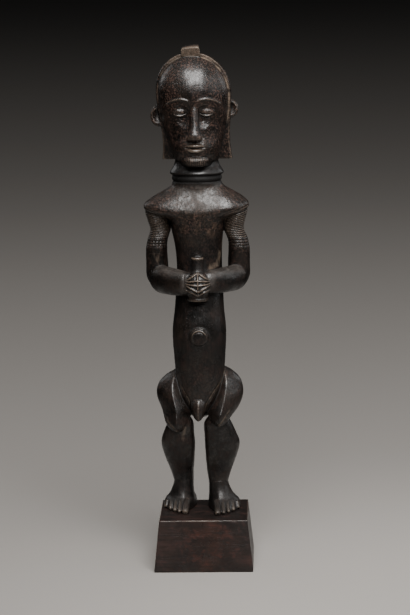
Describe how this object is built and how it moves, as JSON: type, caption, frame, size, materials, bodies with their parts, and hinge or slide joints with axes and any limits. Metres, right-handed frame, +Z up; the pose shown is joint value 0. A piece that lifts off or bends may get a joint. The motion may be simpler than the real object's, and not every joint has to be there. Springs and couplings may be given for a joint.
{
  "type": "carved wooden guardian figure on a plinth",
  "caption": "Standing carved hardwood guardian figure with bent legs, hands joined round a small vessel, a crested hairstyle and a neck collar, on a low tapered wooden plinth.",
  "frame": {"origin": "middle of the plinth's underside, where the work rests", "axes": "+Z up through the figure, the figure faces -Y, +X to the viewer's right"},
  "size_m": [0.1164, 0.109, 0.5777],
  "materials": {
    "figure_wood": "dark oiled and handled hardwood, satin, worn lighter on the ridges",
    "plinth_wood": "dark reddish-brown polished hardwood with a level grain"
  },
  "bodies": {
    "root": {"figure": "figure_wood", "plinth": "plinth_wood"}
  },
  "joints": []
}
